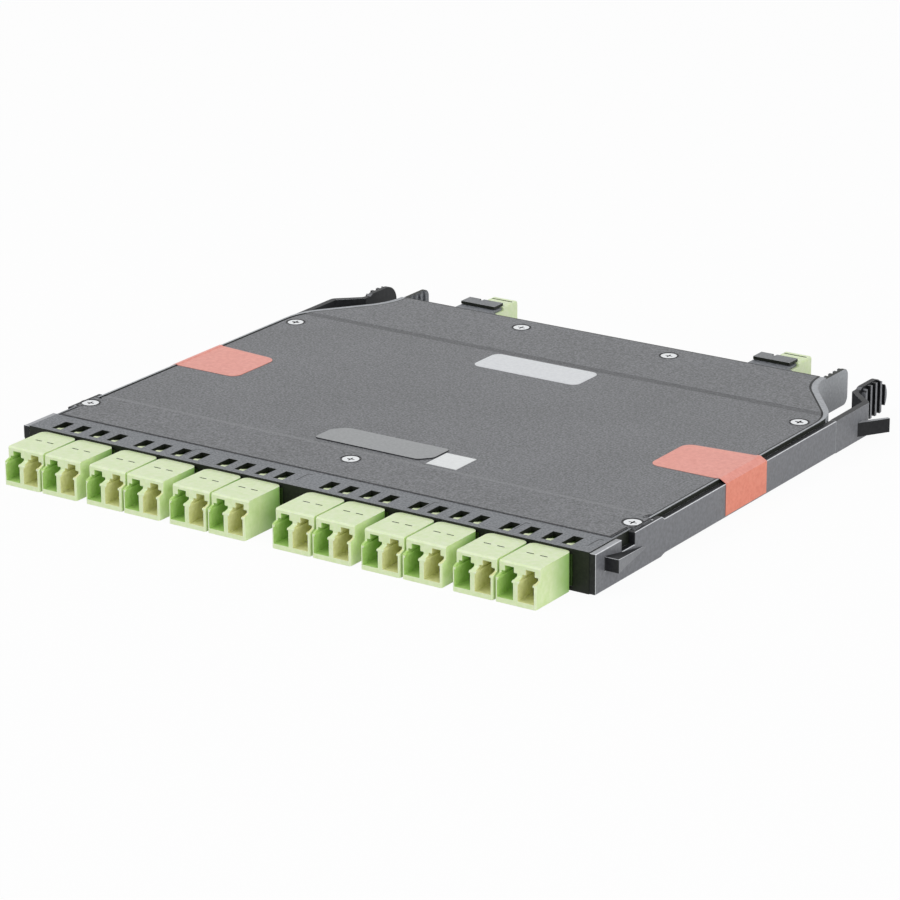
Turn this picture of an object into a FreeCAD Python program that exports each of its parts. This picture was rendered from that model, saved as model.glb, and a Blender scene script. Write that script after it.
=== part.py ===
import FreeCAD, Part
import math
import os

# Modular fibre cassette: a flat moulded tray with twelve duplex LC adapters along its front edge,
# two upright MPO adapters at its rear, a pressed sheet cover, and a latching rail on each side.
# Millimetres. +Z is up, +X runs to the right along the front, +Y runs to the rear.
# Each piece is drawn with y = 0 at the tray's front face, and its Placement then moves it back by
# front_y, so that the origin lies on the underside, midway between front and rear.

doc = FreeCAD.newDocument("fibre_cassette")
sheet = doc.addObject("Spreadsheet::Sheet", "Sizes")

DRIVING = [
    ("front_y", -79.0, "tray's front face, from the origin"),
    ("tray_half", 91.9, "half the tray's width at the front"),
    ("neck_half", 74.4, "half the tray's width at the rear"),
    ("tray_depth", 158.1, "front face to rear face"),
    ("neck_start", 128.9, "corner where the side turns inwards"),
    ("neck_end", 151.3, "corner where the side turns rearwards again"),
    ("neck_radius", 19.0, "radius of both turns, on the outer face"),
    ("floor_thick", 1.2, "tray floor"),
    ("wall_thick", 2.6, "tray wall below the cover's seat"),
    ("rim_top", 11.45, "top of the front strip and of the wall's lip"),
    ("seat_top", 10.6, "ledge that the cover lies on"),
    ("lip_thick", 0.8, "lip beside the cover on the straight sides"),
    ("neck_lip", 2.0, "lip beside the cover along the neck"),
    ("strip_depth", 12.0, "front strip ahead of the cover"),
    ("strip_thick", 1.2, "front strip's plate"),
    ("cover_thick", 1.0, "cover's sheet"),
    ("cover_gap", 0.15, "play between the cover and the lip"),
    ("panel_drop", 0.3, "drop of the cover's centre panel"),
    ("screw_front_x", 89.9, "front corner screws"),
    ("screw_front_y", 24.6, "front corner screws"),
    ("screw_rear_x", 86.8, "rear corner screws"),
    ("screw_rear_y", 119.4, "rear corner screws"),
    ("screw_back_x", 25.8, "screws near the rear edge"),
    ("screw_back_y", 151.1, "screws near the rear edge"),
    ("head_radius", 2.45, "screw head"),
    ("shank_radius", 1.2, "screw shank"),
    ("pair_pitch", 28.55, "from one adapter pair to the next"),
    ("centre_pitch", 34.2, "between the two pairs beside the middle"),
    ("adapter_pitch", 13.0, "between the two adapters of a pair"),
    ("port_pitch", 6.25, "between the two ports of an adapter"),
    ("adapter_out", 17.2, "adapter ahead of the tray"),
    ("adapter_in", 13.5, "adapter inside the tray"),
    ("port_depth", 10.0, "depth of a port ahead of its septum"),
    ("slot_wide", 3.1, "window in the strip over each port"),
    ("slot_long", 6.1, "window in the strip over each port"),
    ("rail_out", 93.8, "outer face of the side rails"),
    ("rail_high", 11.2, "rail beside the front block"),
    ("arm_low", 0.7, "underside of the rail behind the front block"),
    ("arm_high", 10.3, "top of the rail behind the front block"),
    ("arm_end", 128.0, "end of the fixed rail"),
    ("split_gap", 0.3, "between fixed rail and lever"),
    ("pad_face", 86.4, "outer face of the lever's thumb pad"),
    ("pad_thick", 1.5, "lever's thumb pad"),
    ("pad_rib", 1.4, "height of the ribs on the thumb pad"),
    ("tab_thick", 1.1, "tray's finger tab"),
    ("tab_end", 171.5, "rear edge of the tray's finger tab"),
    ("mpo_left", -46.5, "left MPO adapter"),
    ("mpo_right", 56.4, "right MPO adapter"),
    ("mpo_wide", 9.0, "MPO adapter, turned on its side"),
    ("mpo_low", 0.2, "underside of the MPO adapter"),
    ("mpo_high", 11.3, "top of the MPO adapter"),
    ("mpo_front", 150.0, "inner face of the MPO adapter"),
    ("mpo_rear", 174.0, "outer face of the MPO adapter"),
    ("retainer_front", 162.5, "front edge of the MPO retainer"),
    ("retainer_deep", 5.0, "MPO retainer, front to rear"),
    ("adapter_wide", 12.3, "LC adapter"),
    ("adapter_low", 0.15, "underside of the LC adapter"),
    ("adapter_high", 10.8, "top of the LC adapter"),
    ("face_step", 2.1, "upper part of the adapter's face behind the lower part"),
    ("bundle_radius", 1.2, "fibre bundle"),
    ("film", 0.12, "labels and seals"),
]

for row, (alias, value, note) in enumerate(DRIVING, start=1):
    sheet.set("A%d" % row, alias)
    sheet.set("B%d" % row, str(value))
    sheet.set("C%d" % row, note)
    sheet.setAlias("B%d" % row, alias)
doc.recompute()

D = {alias: float(sheet.get(alias)) for alias, value, note in DRIVING}
SIDES = (("left", -1), ("right", 1))
NODES = []


def vector(x, y, z=0.0):
    return FreeCAD.Vector(x, y, z)


def new_body(name):
    """A body for one piece, moved so that the tray's front face lies at front_y."""
    body = doc.addObject("PartDesign::Body", name)
    body.Label = name
    body.setExpression("Placement.Base.y", "Sizes.front_y")
    NODES.append(body)
    return body


def new_sketch(body, name, role, offset="0"):
    """An empty sketch on one of the body's origin planes, offset by an expression."""
    sketch = body.newObject("Sketcher::SketchObject", name)
    plane = next(item for item in body.Origin.OriginFeatures if item.Role == role)
    sketch.AttachmentSupport = [(plane, "")]
    sketch.MapMode = "FlatFace"
    sketch.setExpression("AttachmentOffset.Base.z", offset)
    return sketch


def outline(sketch, corners):
    """A closed outline through corners (a, b) or (a, b, radius), with tangent arcs at the radii."""
    count = len(corners)
    arrive, leave, bends = [], [], []
    for index in range(count):
        here = vector(*corners[index][:2])
        back = vector(*corners[index - 1][:2]) - here
        ahead = vector(*corners[(index + 1) % count][:2]) - here
        radius = corners[index][2] if len(corners[index]) > 2 else 0.0
        if radius <= 0:
            arrive.append(here)
            leave.append(here)
            bends.append(None)
            continue
        half = back.getAngle(ahead) / 2
        back.normalize()
        ahead.normalize()
        run = radius / math.tan(half)
        middle = back + ahead
        middle.normalize()
        arrive.append(here + back * run)
        leave.append(here + ahead * run)
        bends.append(here + middle * (radius / math.sin(half) - radius))
    for index in range(count):
        following = (index + 1) % count
        if bends[index] is not None:
            sketch.addGeometry(Part.Arc(arrive[index], bends[index], leave[index]))
        if leave[index].distanceToPoint(arrive[following]) > 1e-6:
            sketch.addGeometry(Part.LineSegment(leave[index], arrive[following]))


def rectangle(sketch, low_a, low_b, high_a, high_b, radius=0.0):
    outline(sketch, [(low_a, low_b, radius), (high_a, low_b, radius),
                     (high_a, high_b, radius), (low_a, high_b, radius)])


def circle(sketch, a, b, radius):
    sketch.addGeometry(Part.Circle(vector(a, b), vector(0, 0, 1), radius))


def ring_of_corners(a, b, radius, count=12):
    """The corners of a small hidden round, drawn with few sides."""
    turn = 2 * math.pi / count
    return [(a + radius * math.cos((step + 0.5) * turn), b + radius * math.sin((step + 0.5) * turn))
            for step in range(count)]


def pad(body, name, sketch, length, backwards=False, centred=False):
    """Adds the sketch's profile over a length given by an expression."""
    feature = body.newObject("PartDesign::Pad", name)
    feature.Profile = sketch
    feature.setExpression("Length", length)
    feature.Reversed = backwards
    if centred:
        feature.Midplane = True
    return feature


def pocket(body, name, sketch, length, backwards=False, centred=False):
    """Cuts the sketch's profile over a length given by an expression."""
    feature = body.newObject("PartDesign::Pocket", name)
    feature.Profile = sketch
    feature.setExpression("Length", length)
    feature.Reversed = backwards
    if centred:
        feature.Midplane = True
    return feature


def neck_turn():
    """The angle that the side turns inwards by, and back again."""
    return math.atan2(D["tray_half"] - D["neck_half"], D["neck_end"] - D["neck_start"])


def side_corners(inset, straight_inset=None):
    """The right side's two corners, inset from the tray's outer face, front to rear."""
    run_x = D["tray_half"] - D["neck_half"]
    run_y = D["neck_end"] - D["neck_start"]
    lean = math.tan(neck_turn() / 2)
    first_y = D["neck_start"] - lean * inset
    second_y = D["neck_end"] - lean * inset
    front_inset = inset if straight_inset is None else straight_inset
    shift = (inset - front_inset) * run_y / run_x
    return [(D["tray_half"] - front_inset, first_y - shift, D["neck_radius"] - inset),
            (D["neck_half"] - inset, second_y, D["neck_radius"] + inset)]


def tray_outline(inset, front, rear, straight_inset=None):
    """The tray's plan outline, inset all round, from a front line to a rear line."""
    right = side_corners(inset, straight_inset)
    room = (rear - 0.2 - right[1][1]) / math.tan(neck_turn() / 2)
    right[1] = (right[1][0], right[1][1], min(right[1][2], room))
    left = [(-x, y, radius) for x, y, radius in reversed(right)]
    return ([(-right[0][0], front), (right[0][0], front)] + right
            + [(right[1][0], rear), (-right[1][0], rear)] + left)


def adapter_centres():
    """X of the twelve LC adapters, left to right: six pairs, wider apart at the middle."""
    centres = []
    for side in (-1, 1):
        for step in range(3):
            middle = side * (D["centre_pitch"] / 2 + step * D["pair_pitch"])
            centres += [middle - D["adapter_pitch"] / 2, middle + D["adapter_pitch"] / 2]
    return sorted(centres)


def port_centres(adapter_x):
    return [adapter_x + side * D["port_pitch"] / 2 for side in (-1, 1)]


def screw_places():
    """Plan positions of the seven cover screws."""
    places = [(0.0, D["screw_front_y"] + 0.8)]
    for side in (-1, 1):
        places.append((side * D["screw_front_x"], D["screw_front_y"]))
        places.append((side * D["screw_rear_x"], D["screw_rear_y"]))
        places.append((side * D["screw_back_x"], D["screw_back_y"]))
    return places


BAY_TOP = 10.0
EAR_START = 21.0
EAR_END = 29.7
FRONT_WALL = 2.0
BAY_LENGTH = 12.0
BOSS_RADIUS = 1.95
SPOOL_X = 43.0
SPOOL_Y = 88.0
SPOOL_RADIUS = 24.0
SPOOL_WALL = 1.4
SPOOL_TOP = 8.0
SPOOL_DISC = 0.8
BRIDGE_LOW = 10.3
TAB_TOP = 11.0


def tray_shell(body):
    """Floor, walls with the cover's seat, and the strip along the front."""
    floor = new_sketch(body, "floor_outline", "XY_Plane")
    outline(floor, tray_outline(0.0, 0.0, D["tray_depth"]))
    pad(body, "floor", floor, "Sizes.floor_thick")
    walls = new_sketch(body, "wall_outline", "XY_Plane")
    outline(walls, tray_outline(0.0, 0.0, D["tray_depth"]))
    outline(walls, tray_outline(D["wall_thick"], FRONT_WALL, D["tray_depth"] - 2.0))
    pad(body, "walls", walls, "Sizes.rim_top")
    strip = new_sketch(body, "strip_outline", "XY_Plane", "Sizes.rim_top")
    rectangle(strip, -D["tray_half"] + 1.0, 1.0, D["tray_half"] - 1.0, D["strip_depth"])
    pad(body, "strip", strip, "Sizes.strip_thick", backwards=True)
    seat = new_sketch(body, "seat_outline", "XY_Plane", "Sizes.rim_top")
    play = D["cover_gap"]
    outline(seat, tray_outline(D["neck_lip"] - play, D["strip_depth"], D["tray_depth"] + 1.0,
                               D["lip_thick"] - play))
    pocket(body, "cover_seat", seat, "Sizes.rim_top - Sizes.seat_top")
    ears = new_sketch(body, "ear_recess", "XY_Plane", "Sizes.rim_top")
    for side in (-1, 1):
        low, high = sorted((side * (D["tray_half"] - 1.5), side * (D["tray_half"] + 1.0)))
        rectangle(ears, low, EAR_START - 0.2, high, EAR_END + 0.2)
    pocket(body, "ear_recesses", ears, "Sizes.rim_top - Sizes.seat_top")


def adapter_bays(body):
    """Posts between the adapter pairs, the pairs' openings in the front wall and the strip's windows."""
    posts = new_sketch(body, "post_outline", "XY_Plane")
    opening_half = D["adapter_pitch"] - 0.1
    middles = sorted(side * (D["centre_pitch"] / 2 + step * D["pair_pitch"])
                     for side in (-1, 1) for step in range(3))
    edges = [-D["tray_half"] + 1.0]
    for middle in middles:
        edges += [middle - opening_half, middle + opening_half]
    edges.append(D["tray_half"] - 1.0)
    for left, right in zip(edges[0::2], edges[1::2]):
        rectangle(posts, left, 1.0, right, BAY_LENGTH)
    pad(body, "posts", posts, "Sizes.rim_top - 0.4")
    openings = new_sketch(body, "opening_outline", "XZ_Plane")
    for middle in middles:
        rectangle(openings, middle - opening_half, D["floor_thick"], middle + opening_half, BAY_TOP)
    pocket(body, "front_openings", openings, "2 * %.1f" % FRONT_WALL)
    windows = new_sketch(body, "window_outline", "XY_Plane", "Sizes.rim_top")
    for centre in adapter_centres():
        for port in port_centres(centre):
            rectangle(windows, port - D["slot_wide"] / 2, FRONT_WALL, port + D["slot_wide"] / 2,
                      FRONT_WALL + D["slot_long"])
    pocket(body, "strip_windows", windows, "2 * Sizes.strip_thick")


def finger_tabs(body):
    """A rounded tab that carries each side wall on to the rear, ribbed on its inner face."""
    for name, side in SIDES:
        inner = D["neck_half"] - D["tab_thick"]
        start = inner if side > 0 else -D["neck_half"]
        tab = new_sketch(body, "tab_outline_" + name, "YZ_Plane", "%.4f" % start)
        outline(tab, [(D["tray_depth"] - 4.0, 0.0), (D["tab_end"], 0.0, 2.4),
                      (D["tab_end"], TAB_TOP, 2.4), (D["tray_depth"] - 4.0, TAB_TOP)])
        pad(body, "tab_" + name, tab, "Sizes.tab_thick")
        ribs = new_sketch(body, "tab_rib_outline_" + name, "XY_Plane", "Sizes.floor_thick")
        for step in range(4):
            rib_y = D["tray_depth"] + 2.2 + step * 2.7
            low, high = sorted((side * (inner - 0.9), side * (inner + 0.2)))
            rectangle(ribs, low, rib_y, high, rib_y + 1.0)
        pad(body, "tab_ribs_" + name, ribs, "%.1f - Sizes.floor_thick" % (TAB_TOP - 0.1))


def screw_bosses(body):
    """Pillars under the cover's screws, each drilled for its screw."""
    pillars = new_sketch(body, "boss_outline", "XY_Plane")
    for x, y in screw_places():
        circle(pillars, x, y, BOSS_RADIUS)
    pad(body, "bosses", pillars, "Sizes.seat_top")
    holes = new_sketch(body, "boss_holes", "XY_Plane", "Sizes.seat_top + 1")
    for x, y in screw_places():
        outline(holes, ring_of_corners(x, y, D["shank_radius"] + 0.08))
    pocket(body, "boss_bores", holes, "9")


def mpo_seats(body):
    """Behind the rear wall, a cradle for each MPO adapter: floor, left wall, bridge, short right leg."""
    for name, centre in (("left", D["mpo_left"]), ("right", D["mpo_right"])):
        half = D["mpo_wide"] / 2
        left, right = centre - half - 4.2, centre + half - 0.6
        front, rear = D["tray_depth"] - 0.05, D["retainer_front"] + 3.6
        block = new_sketch(body, "cradle_plan_" + name, "XY_Plane")
        outline(block, [(left, front), (right + 1.8, front), (right + 1.8, front + 1.9),
                        (right, front + 1.9), (right, rear), (left, rear)])
        pad(body, "cradle_" + name, block, "Sizes.rim_top - 0.35")
        window = new_sketch(body, "window_cut_" + name, "XZ_Plane", "-(Sizes.mpo_front - 0.1)")
        rectangle(window, centre - half - 0.1, D["floor_thick"], centre + half + 0.1, BRIDGE_LOW)
        pocket(body, "mpo_window_" + name, window, "Sizes.mpo_rear - Sizes.mpo_front")


def base_housing():
    """The moulded tray, one piece: everything else is carried by it."""
    body = new_body("base_housing")
    tray_shell(body)
    adapter_bays(body)
    finger_tabs(body)
    screw_bosses(body)
    mpo_seats(body)


def fibre_spool(name, side):
    """A spool for a fibre bundle: a disc on the tray's floor with a round wall, open at two places."""
    body = new_body("fibre_spool_" + name)
    disc = new_sketch(body, "disc_outline", "XY_Plane", "Sizes.floor_thick")
    circle(disc, side * SPOOL_X, SPOOL_Y, SPOOL_RADIUS)
    pad(body, "disc", disc, "%.1f" % SPOOL_DISC)
    wall = new_sketch(body, "wall_outline", "XY_Plane", "Sizes.floor_thick")
    circle(wall, side * SPOOL_X, SPOOL_Y, SPOOL_RADIUS)
    circle(wall, side * SPOOL_X, SPOOL_Y, SPOOL_RADIUS - SPOOL_WALL)
    pad(body, "wall", wall, "%.1f - Sizes.floor_thick" % SPOOL_TOP)
    gaps = new_sketch(body, "wall_gaps", "XY_Plane", "Sizes.floor_thick + %.1f" % SPOOL_DISC)
    rectangle(gaps, side * SPOOL_X - 9, SPOOL_Y - SPOOL_RADIUS - 1,
              side * SPOOL_X + 9, SPOOL_Y + SPOOL_RADIUS + 1)
    pocket(body, "wall_openings", gaps, "12", backwards=True)


def cover_outline():
    """The cover's plan outline: an ear at each front screw, the neck's curve, a straight rear edge."""
    corners = side_corners(D["neck_lip"], D["lip_thick"])
    edge = corners[0][0]
    front = D["strip_depth"] + 0.2
    ear = D["tray_half"] + 0.65
    right = [(edge - 0.4, front), (edge - 0.4, EAR_START), (ear, EAR_START, 0.5), (ear, EAR_END, 0.5),
             (edge - 0.6, EAR_END), (edge - 0.6, 32.4), (edge, 33.0)]
    right += [corners[0], corners[1], (corners[1][0], D["tray_depth"] - 0.1)]
    left = [(-point[0],) + tuple(point[1:]) for point in reversed(right)]
    return right + left


def top_cover():
    """Painted sheet cover, pressed down a little over its middle, with seven countersunk holes."""
    body = new_body("top_cover")
    plan = new_sketch(body, "cover_plan", "XY_Plane", "Sizes.seat_top")
    outline(plan, cover_outline())
    pad(body, "sheet", plan, "Sizes.cover_thick")
    under = new_sketch(body, "panel_plan", "XY_Plane", "Sizes.seat_top")
    rectangle(under, -84.0, 33.2, 84.0, 113.0, 2.0)
    pad(body, "panel_underside", under, "Sizes.panel_drop", backwards=True)
    top = D["seat_top"] + D["cover_thick"]
    drop = new_sketch(body, "panel_section", "YZ_Plane")
    outline(drop, [(30.9, top + 0.01), (33.1, top - D["panel_drop"]), (127.4, top - D["panel_drop"]),
                   (129.8, top + 0.01), (129.8, top + 1), (30.9, top + 1)])
    pocket(body, "panel", drop, "2 * Sizes.rail_out", centred=True)
    for index, (x, y) in enumerate(screw_places()):
        inside = 33.0 < y < 127.0
        face = top - (D["panel_drop"] if inside else 0.0)
        cone = body.newObject("PartDesign::SubtractiveCone", "countersink_%d" % index)
        cone.Radius1 = D["shank_radius"] + 0.35
        cone.Radius2 = D["head_radius"] + 0.05
        cone.Height = face - D["seat_top"]
        cone.Placement = FreeCAD.Placement(vector(x, y, D["seat_top"]), FreeCAD.Rotation())


def cover_screws():
    """Seven countersunk screws with a cross recess, as one group of separate solids."""
    top = D["seat_top"] + D["cover_thick"]
    solids = []
    for x, y in screw_places():
        face = top - (D["panel_drop"] if 33.0 < y < 127.0 else 0.0)
        neck = D["shank_radius"] + 0.3
        head = Part.makeCone(neck, D["head_radius"], face - D["seat_top"] - 0.02)
        head.translate(vector(x, y, D["seat_top"] + 0.02))
        foot = [vector(a, b, D["seat_top"] - 6.9) for a, b in ring_of_corners(x, y, D["shank_radius"])]
        shank = Part.Face(Part.makePolygon(foot + foot[:1])).extrude(vector(0, 0, 7.0))
        recess = Part.makeBox(2.4, 0.5, 0.6, vector(x - 1.2, y - 0.25, face - 0.5))
        across = Part.makeBox(0.5, 2.4, 0.6, vector(x - 0.25, y - 1.2, face - 0.5))
        solids.append(head.fuse(shank).cut(recess.fuse(across)))
    group = doc.addObject("Part::Feature", "cover_screws")
    group.Label = "cover_screws"
    group.Shape = Part.makeCompound(solids)
    group.Placement = FreeCAD.Placement(vector(0, D["front_y"], 0), FreeCAD.Rotation())
    NODES.append(group)


def port_section(sketch, x):
    """An LC port: square below for the plug, a catch on each side, a narrow channel above for the latch."""
    right = [(2.45, 1.5), (2.45, 6.2), (2.05, 6.2), (2.05, 6.9),
             (2.35, 6.9), (2.35, 8.1), (1.35, 8.1), (1.35, 9.6)]
    left = [(-a, z) for a, z in reversed(right)]
    outline(sketch, [(x + a, z) for a, z in right + left])


BARREL_Z = 3.8
BARREL_RADIUS = 1.55
BORE_RADIUS = 0.9
NECK_HALF = 6.1


def lc_adapter(number, x):
    """A duplex LC adapter: two keyed ports in front, one wide port inside, a septum between them."""
    body = new_body("lc_adapter_%02d" % number)
    half, out = D["adapter_wide"] / 2, D["adapter_out"]
    plan = new_sketch(body, "front_plan", "XY_Plane", "Sizes.adapter_low")
    outline(plan, [(x - half, 0.4 - out), (x - half + 0.4, -out), (x + half - 0.4, -out),
                   (x + half, 0.4 - out), (x + half, 0.0, 1.9), (x - half, 0.0, 1.9)])
    pad(body, "front_half", plan, "Sizes.adapter_high - Sizes.adapter_low")
    neck = new_sketch(body, "neck_section", "XZ_Plane")
    rectangle(neck, x - NECK_HALF, D["floor_thick"] + 0.1, x + NECK_HALF, BAY_TOP - 0.1)
    pad(body, "neck", neck, "Sizes.adapter_in", backwards=True)
    root = new_sketch(body, "neck_root_section", "XZ_Plane")
    rectangle(root, x - half + 2.0, D["floor_thick"] + 0.1, x + half - 2.0, BAY_TOP - 0.1)
    pad(body, "neck_root", root, "1")
    step = new_sketch(body, "step_profile", "YZ_Plane", "%.3f" % x)
    back = -out + D["face_step"]
    top = D["adapter_high"]
    outline(step, [(-out - 1.0, 6.7), (-out, 6.7), (back, 7.5), (back, top - 0.4),
                   (back + 0.4, top + 0.01), (back + 0.4, top + 1), (-out - 1.0, top + 1)])
    pocket(body, "face_step", step, "2 * Sizes.adapter_wide", centred=True)
    for side in (-1, 1):
        middle = x + side * D["port_pitch"] / 2
        hook = new_sketch(body, "hook_profile_%d" % (side + 1), "YZ_Plane", "%.3f" % middle)
        outline(hook, [(FRONT_WALL + 0.3, BAY_TOP - 0.4), (FRONT_WALL + 3.2, BAY_TOP - 0.4),
                       (FRONT_WALL + 3.0, BAY_TOP), (FRONT_WALL + 0.5, 11.0)])
        pad(body, "hook_%d" % (side + 1), hook, "2.6", centred=True)
    slots = new_sketch(body, "top_slots", "XY_Plane", "Sizes.adapter_high")
    for side in (-1, 1):
        rectangle(slots, x + side * 2.05 - 1.1, -7.2, x + side * 2.05 + 1.1, -6.8)
    pocket(body, "slots", slots, "0.5")
    ports = new_sketch(body, "port_sections", "XZ_Plane", "Sizes.adapter_out")
    for port in port_centres(x):
        port_section(ports, port)
    pocket(body, "ports", ports, "Sizes.port_depth")
    barrels = new_sketch(body, "barrel_sections", "XZ_Plane", "Sizes.adapter_out - Sizes.port_depth - 0.1")
    for port in port_centres(x):
        outline(barrels, ring_of_corners(port, BARREL_Z, BARREL_RADIUS))
    pad(body, "barrels", barrels, "2.6")
    inner = new_sketch(body, "inner_port", "XZ_Plane", "-Sizes.adapter_in")
    rectangle(inner, x - 5.5, 1.9, x + 5.5, 8.8)
    pocket(body, "inner_port_cut", inner, "Sizes.port_depth - 1", backwards=True)
    bores = new_sketch(body, "bore_sections", "XZ_Plane", "Sizes.adapter_out")
    for port in port_centres(x):
        outline(bores, ring_of_corners(port, BARREL_Z, BORE_RADIUS))
    pocket(body, "bores", bores, "Sizes.adapter_out + Sizes.adapter_in")


def alignment_sleeves():
    """Ceramic sleeves in the adapters' bores, as one group of separate solids."""
    solids = []
    for centre in adapter_centres():
        for port in port_centres(centre):
            rods = []
            for radius in (BORE_RADIUS - 0.02, 0.65):
                corners = [vector(a, -10.0, z) for a, z in ring_of_corners(port, BARREL_Z, radius)]
                rods.append(Part.Face(Part.makePolygon(corners + corners[:1])).extrude(vector(0, 9.0, 0)))
            solids.append(rods[0].cut(rods[1]))
    group = doc.addObject("Part::Feature", "alignment_sleeves")
    group.Label = "alignment_sleeves"
    group.Shape = Part.makeCompound(solids)
    group.Placement = FreeCAD.Placement(vector(0, D["front_y"], 0), FreeCAD.Rotation())
    NODES.append(group)


def lc_plug(number, x):
    """The duplex LC plug that is fitted to an adapter from inside the tray, with its two boots."""
    body = new_body("lc_plug_%02d" % number)
    housings = new_sketch(body, "housing_sections", "XZ_Plane", "-(Sizes.adapter_in - 8)")
    for port in port_centres(x):
        rectangle(housings, port - 2.2, 2.1, port + 2.2, 6.3)
    pad(body, "housings", housings, "14", backwards=True)
    clip = new_sketch(body, "clip_section", "XZ_Plane", "-(Sizes.adapter_in + 1)")
    rectangle(clip, x - 5.4, 1.9, x + 5.4, 7.2)
    pad(body, "clip", clip, "3.4", backwards=True)
    boots = new_sketch(body, "boot_sections", "XZ_Plane", "-(Sizes.adapter_in + 5.9)")
    for port in port_centres(x):
        rectangle(boots, port - 1.2, 3.0, port + 1.2, 5.4)
    pad(body, "boots", boots, "6.4", backwards=True)


def mpo_adapter(name, x):
    """An MPO adapter turned on its side: a keyed oblong port at each end, the outer half taller."""
    body = new_body("mpo_adapter_" + name)
    half = D["mpo_wide"] / 2
    shoulder = D["retainer_front"] + 3.8
    inner = new_sketch(body, "inner_section", "XZ_Plane", "-%.3f" % shoulder)
    rectangle(inner, x - half, D["floor_thick"] + 0.05, x + half, BRIDGE_LOW - 0.05)
    pad(body, "inner_half", inner, "%.3f - Sizes.mpo_front" % shoulder)
    shell = new_sketch(body, "shell_section", "XZ_Plane", "-Sizes.mpo_rear")
    rectangle(shell, x - half, D["mpo_low"], x + half, D["mpo_high"], 0.7)
    pad(body, "outer_half", shell, "Sizes.mpo_rear - %.3f" % shoulder)
    for role, offset, backwards in (("outer", "-Sizes.mpo_rear", True), ("inner", "-Sizes.mpo_front", False)):
        port = new_sketch(body, role + "_port", "XZ_Plane", offset)
        outline(port, [(x - half + 1.2, 2.2), (x + half - 1.2, 2.2), (x + half - 1.2, 9.4),
                       (x - half + 1.2, 9.4), (x - half + 1.2, 7.3), (x - half + 0.6, 7.3),
                       (x - half + 0.6, 4.3), (x - half + 1.2, 4.3)])
        pocket(body, role + "_port_cut", port, "10.5", backwards=backwards)
    through = new_sketch(body, "ferrule_window", "XZ_Plane", "-Sizes.mpo_rear")
    rectangle(through, x - 1.6, 2.6, x + 1.6, 9.0)
    pocket(body, "ferrule_window_cut", through, "Sizes.mpo_rear - Sizes.mpo_front", backwards=True)
    groove = new_sketch(body, "top_groove", "XY_Plane", "Sizes.mpo_high")
    rectangle(groove, x - half + 0.8, D["mpo_rear"] - 1.9, x + half - 0.8, D["mpo_rear"] - 1.3)
    pocket(body, "groove", groove, "0.4")


def mpo_retainer(name, x):
    """Clip over an MPO adapter: a flat top plate, its left end hooked down behind the cradle's wall."""
    body = new_body("mpo_retainer_" + name)
    half = D["mpo_wide"] / 2
    left, right = x - half - 4.2, x + half - 1.0
    front = D["retainer_front"]
    rear = front + D["retainer_deep"]
    plate = new_sketch(body, "plate_plan", "XY_Plane", "Sizes.mpo_high + 0.05")
    outline(plate, [(left, front), (right, front), (right, rear), (x - half + 1.0, rear),
                    (x - half + 1.0, rear - 1.2), (x - half, rear - 1.2), (x - half, rear), (left, rear)])
    pad(body, "plate", plate, "0.9")
    foot = new_sketch(body, "foot_plan", "XY_Plane", "Sizes.mpo_high + 0.1")
    rectangle(foot, left, front + 0.3, left + 3.6, front + 3.4)
    pad(body, "foot", foot, "0.2", backwards=True)
    hook = new_sketch(body, "hook_plan", "XY_Plane", "Sizes.mpo_high + 0.1")
    rectangle(hook, left + 0.3, front + 3.7, x - half - 0.2, rear - 0.2)
    pad(body, "hook", hook, "6", backwards=True)


def mpo_plug(name, x):
    """The MPO plug that is fitted from inside the tray: ferrule, housing and boot."""
    body = new_body("mpo_plug_" + name)
    ferrule = new_sketch(body, "ferrule_section", "XZ_Plane", "-(Sizes.mpo_front + 12.5)")
    rectangle(ferrule, x - 1.3, 2.7, x + 1.3, 8.8)
    pad(body, "ferrule", ferrule, "6")
    housing = new_sketch(body, "housing_section", "XZ_Plane", "-(Sizes.mpo_front + 9.8)")
    rectangle(housing, x - 3.1, 2.4, x + 3.1, 9.2)
    pad(body, "housing", housing, "20")
    boot = new_sketch(body, "boot_section", "XZ_Plane", "-(Sizes.mpo_front - 10)")
    outline(boot, ring_of_corners(x, 5.8, 2.6, 8))
    pad(body, "boot", boot, "14")


def fibre_bundle(name, side, plug_x):
    """The bundle from an MPO plug, once round its spool and along behind the LC plugs."""
    body = new_body("fibre_bundle_" + name)
    level = 5.4
    reach = SPOOL_RADIUS + 3.2
    centre = side * SPOOL_X
    start = (plug_x, D["mpo_front"] - 24.2)
    route = new_sketch(body, "route", "XY_Plane", "%.2f" % level)
    corners = [start, (plug_x, 118.5, 6.0), (centre + side * reach, 106.0, 18.0),
               (centre + side * reach, SPOOL_Y - reach, 20.0), (centre - side * 14.0, 42.0, 14.0),
               (side * 6.0, 38.6)]
    points = [vector(*corner[:2]) for corner in corners]
    previous = points[0]
    for index in range(1, len(corners) - 1):
        here = points[index]
        back = points[index - 1] - here
        ahead = points[index + 1] - here
        half = back.getAngle(ahead) / 2
        back.normalize()
        ahead.normalize()
        radius = corners[index][2]
        run = radius / math.tan(half)
        middle = back + ahead
        middle.normalize()
        arrive = here + back * run
        leave = here + ahead * run
        route.addGeometry(Part.LineSegment(previous, arrive))
        route.addGeometry(Part.Arc(arrive, here + middle * (radius / math.sin(half) - radius), leave))
        previous = leave
    route.addGeometry(Part.LineSegment(previous, points[-1]))
    section = new_sketch(body, "bundle_section", "XZ_Plane", "-(Sizes.mpo_front - 24.2)")
    outline(section, ring_of_corners(plug_x, level, D["bundle_radius"], 8))
    pipe = body.newObject("PartDesign::AdditivePipe", "bundle")
    pipe.Profile = section
    pipe.Spine = route


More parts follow.
